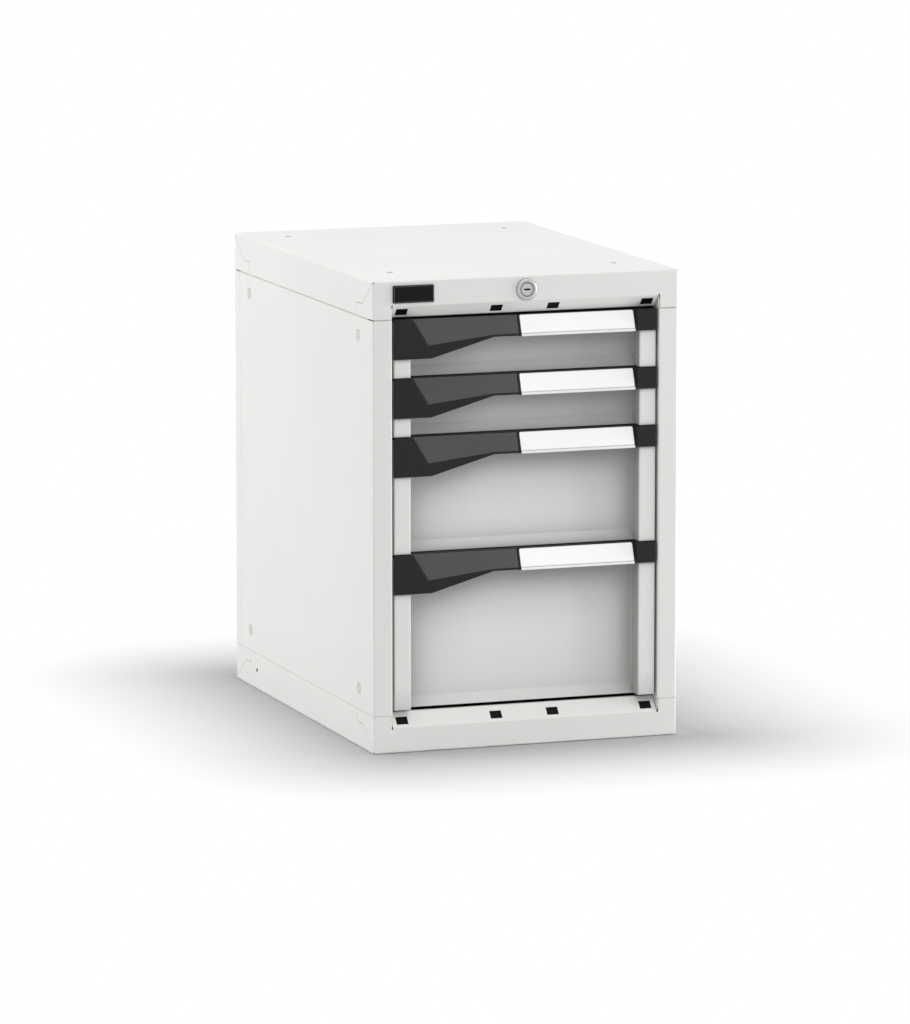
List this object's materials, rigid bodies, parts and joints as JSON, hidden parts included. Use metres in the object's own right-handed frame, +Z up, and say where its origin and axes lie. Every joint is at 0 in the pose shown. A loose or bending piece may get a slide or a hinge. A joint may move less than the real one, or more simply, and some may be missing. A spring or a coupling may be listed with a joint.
{
  "type": "drawer cabinet",
  "caption": "Steel workshop cabinet with stacked full-width drawers on roller runners, moulded handles with label strips, folded cover and base, and a central key lock.",
  "frame": {"origin": "centre of the base's footprint on the floor", "axes": "+Z up, +X to the right of someone facing the drawers, drawers open towards -Y"},
  "size_m": [0.411, 0.5748, 0.603],
  "materials": {
    "body_paint": "fine textured powder coat, warm white",
    "drawer_paint": "fine textured powder coat, warm white",
    "tray_paint": "powder coat, light grey",
    "zinc": "zinc plated sheet",
    "plug_white": "matt moulded cap",
    "cap_black": "fine matt texture",
    "badge_black": "glossy, blank",
    "lock_nickel": "satin nickel",
    "lock_steel": "zinc plated",
    "guide_nylon": "black nylon",
    "roller_nylon": "natural nylon",
    "handle_black": "fine matt texture",
    "grip_grey": "soft matt",
    "label_white": "blank white card",
    "label_clear": "clear, glossy"
  },
  "bodies": {
    "housing": {"top_cover": "body_paint", "base_tray": "body_paint", "left_side_panel": "body_paint", "right_side_panel": "body_paint", "rear_panel": "body_paint", "side_plugs": "plug_white", "slot_caps": "cap_black", "badge_plate": "badge_black", "left_uprights": "zinc", "right_uprights": "zinc", "lock_body": "lock_nickel", "lock_nut": "lock_steel", "slider_guides": "guide_nylon", "lock_bar_guides": "guide_nylon", "cabinet_1_rails": "zinc", "cabinet_2_rails": "zinc", "cabinet_3_rails": "zinc", "cabinet_4_rails": "zinc"},
    "drawer_1": {"drawer_1_tray": "tray_paint", "drawer_1_front": "drawer_paint", "drawer_1_handle": "handle_black", "drawer_1_grip_pad": "grip_grey", "drawer_1_label_card": "label_white", "drawer_1_label_cover": "label_clear", "drawer_1_rails": "zinc"},
    "front_rollers_1": {"cabinet_1_rollers": "roller_nylon"},
    "rear_rollers_1": {"drawer_1_rollers": "roller_nylon"},
    "drawer_2": {"drawer_2_tray": "tray_paint", "drawer_2_front": "drawer_paint", "drawer_2_handle": "handle_black", "drawer_2_grip_pad": "grip_grey", "drawer_2_label_card": "label_white", "drawer_2_label_cover": "label_clear", "drawer_2_rails": "zinc"},
    "front_rollers_2": {"cabinet_2_rollers": "roller_nylon"},
    "rear_rollers_2": {"drawer_2_rollers": "roller_nylon"},
    "drawer_3": {"drawer_3_tray": "tray_paint", "drawer_3_front": "drawer_paint", "drawer_3_handle": "handle_black", "drawer_3_grip_pad": "grip_grey", "drawer_3_label_card": "label_white", "drawer_3_label_cover": "label_clear", "drawer_3_rails": "zinc"},
    "front_rollers_3": {"cabinet_3_rollers": "roller_nylon"},
    "rear_rollers_3": {"drawer_3_rollers": "roller_nylon"},
    "drawer_4": {"drawer_4_tray": "tray_paint", "drawer_4_front": "drawer_paint", "drawer_4_handle": "handle_black", "drawer_4_grip_pad": "grip_grey", "drawer_4_label_card": "label_white", "drawer_4_label_cover": "label_clear", "drawer_4_rails": "zinc"},
    "front_rollers_4": {"cabinet_4_rollers": "roller_nylon"},
    "rear_rollers_4": {"drawer_4_rollers": "roller_nylon"},
    "lock_plug": {"lock_plug": "lock_nickel", "lock_cam": "lock_steel"},
    "lock_slider": {"lock_slider": "lock_steel"},
    "lock_bar": {"lock_bar": "lock_steel", "lock_bar_teeth": "lock_steel"}
  },
  "joints": [
    {"name": "drawer_1_slide", "type": "slide", "parent": "housing", "child": "drawer_1", "axis": [0, -1, 0], "range_m": [0, 0.4]},
    {"name": "front_rollers_1_turn", "type": "hinge", "parent": "housing", "child": "front_rollers_1", "pos_m": [0, -0.244, 0.4974], "axis": [1, 0, 0], "continuous": true},
    {"name": "rear_rollers_1_turn", "type": "hinge", "parent": "drawer_1", "child": "rear_rollers_1", "pos_m": [0, 0.181, 0.4983], "axis": [1, 0, 0], "continuous": true},
    {"name": "drawer_2_slide", "type": "slide", "parent": "housing", "child": "drawer_2", "axis": [0, -1, 0], "range_m": [0, 0.4]},
    {"name": "front_rollers_2_turn", "type": "hinge", "parent": "housing", "child": "front_rollers_2", "pos_m": [0, -0.244, 0.4224], "axis": [1, 0, 0], "continuous": true},
    {"name": "rear_rollers_2_turn", "type": "hinge", "parent": "drawer_2", "child": "rear_rollers_2", "pos_m": [0, 0.181, 0.4233], "axis": [1, 0, 0], "continuous": true},
    {"name": "drawer_3_slide", "type": "slide", "parent": "housing", "child": "drawer_3", "axis": [0, -1, 0], "range_m": [0, 0.4]},
    {"name": "front_rollers_3_turn", "type": "hinge", "parent": "housing", "child": "front_rollers_3", "pos_m": [0, -0.244, 0.2724], "axis": [1, 0, 0], "continuous": true},
    {"name": "rear_rollers_3_turn", "type": "hinge", "parent": "drawer_3", "child": "rear_rollers_3", "pos_m": [0, 0.181, 0.2733], "axis": [1, 0, 0], "continuous": true},
    {"name": "drawer_4_slide", "type": "slide", "parent": "housing", "child": "drawer_4", "axis": [0, -1, 0], "range_m": [0, 0.4]},
    {"name": "front_rollers_4_turn", "type": "hinge", "parent": "housing", "child": "front_rollers_4", "pos_m": [0, -0.244, 0.0724], "axis": [1, 0, 0], "continuous": true},
    {"name": "rear_rollers_4_turn", "type": "hinge", "parent": "drawer_4", "child": "rear_rollers_4", "pos_m": [0, 0.181, 0.0733], "axis": [1, 0, 0], "continuous": true},
    {"name": "lock_turn", "type": "hinge", "parent": "housing", "child": "lock_plug", "pos_m": [0, -0.286, 0.5858], "axis": [0, 1, 0], "range_deg": [0, 90]},
    {"name": "lock_slider_slide", "type": "slide", "parent": "housing", "child": "lock_slider", "axis": [-1, 0, 0], "range_m": [0, 0.01141]},
    {"name": "lock_bar_slide", "type": "slide", "parent": "housing", "child": "lock_bar", "axis": [0, 0, -1], "range_m": [0, 0.01131]}
  ],
  "couplings": [
    {"joint": "front_rollers_1_turn", "follows": "drawer_1_slide", "rad_per_m": 100},
    {"joint": "rear_rollers_1_turn", "follows": "drawer_1_slide", "rad_per_m": 89.286},
    {"joint": "front_rollers_2_turn", "follows": "drawer_2_slide", "rad_per_m": 100},
    {"joint": "rear_rollers_2_turn", "follows": "drawer_2_slide", "rad_per_m": 89.286},
    {"joint": "front_rollers_3_turn", "follows": "drawer_3_slide", "rad_per_m": 100},
    {"joint": "rear_rollers_3_turn", "follows": "drawer_3_slide", "rad_per_m": 89.286},
    {"joint": "front_rollers_4_turn", "follows": "drawer_4_slide", "rad_per_m": 100},
    {"joint": "rear_rollers_4_turn", "follows": "drawer_4_slide", "rad_per_m": 89.286},
    {"joint": "lock_slider_slide", "follows": "lock_bar_slide", "ratio": 1},
    {"joint": "lock_turn", "follows": "lock_bar_slide", "rad_per_m": 138.84}
  ]
}
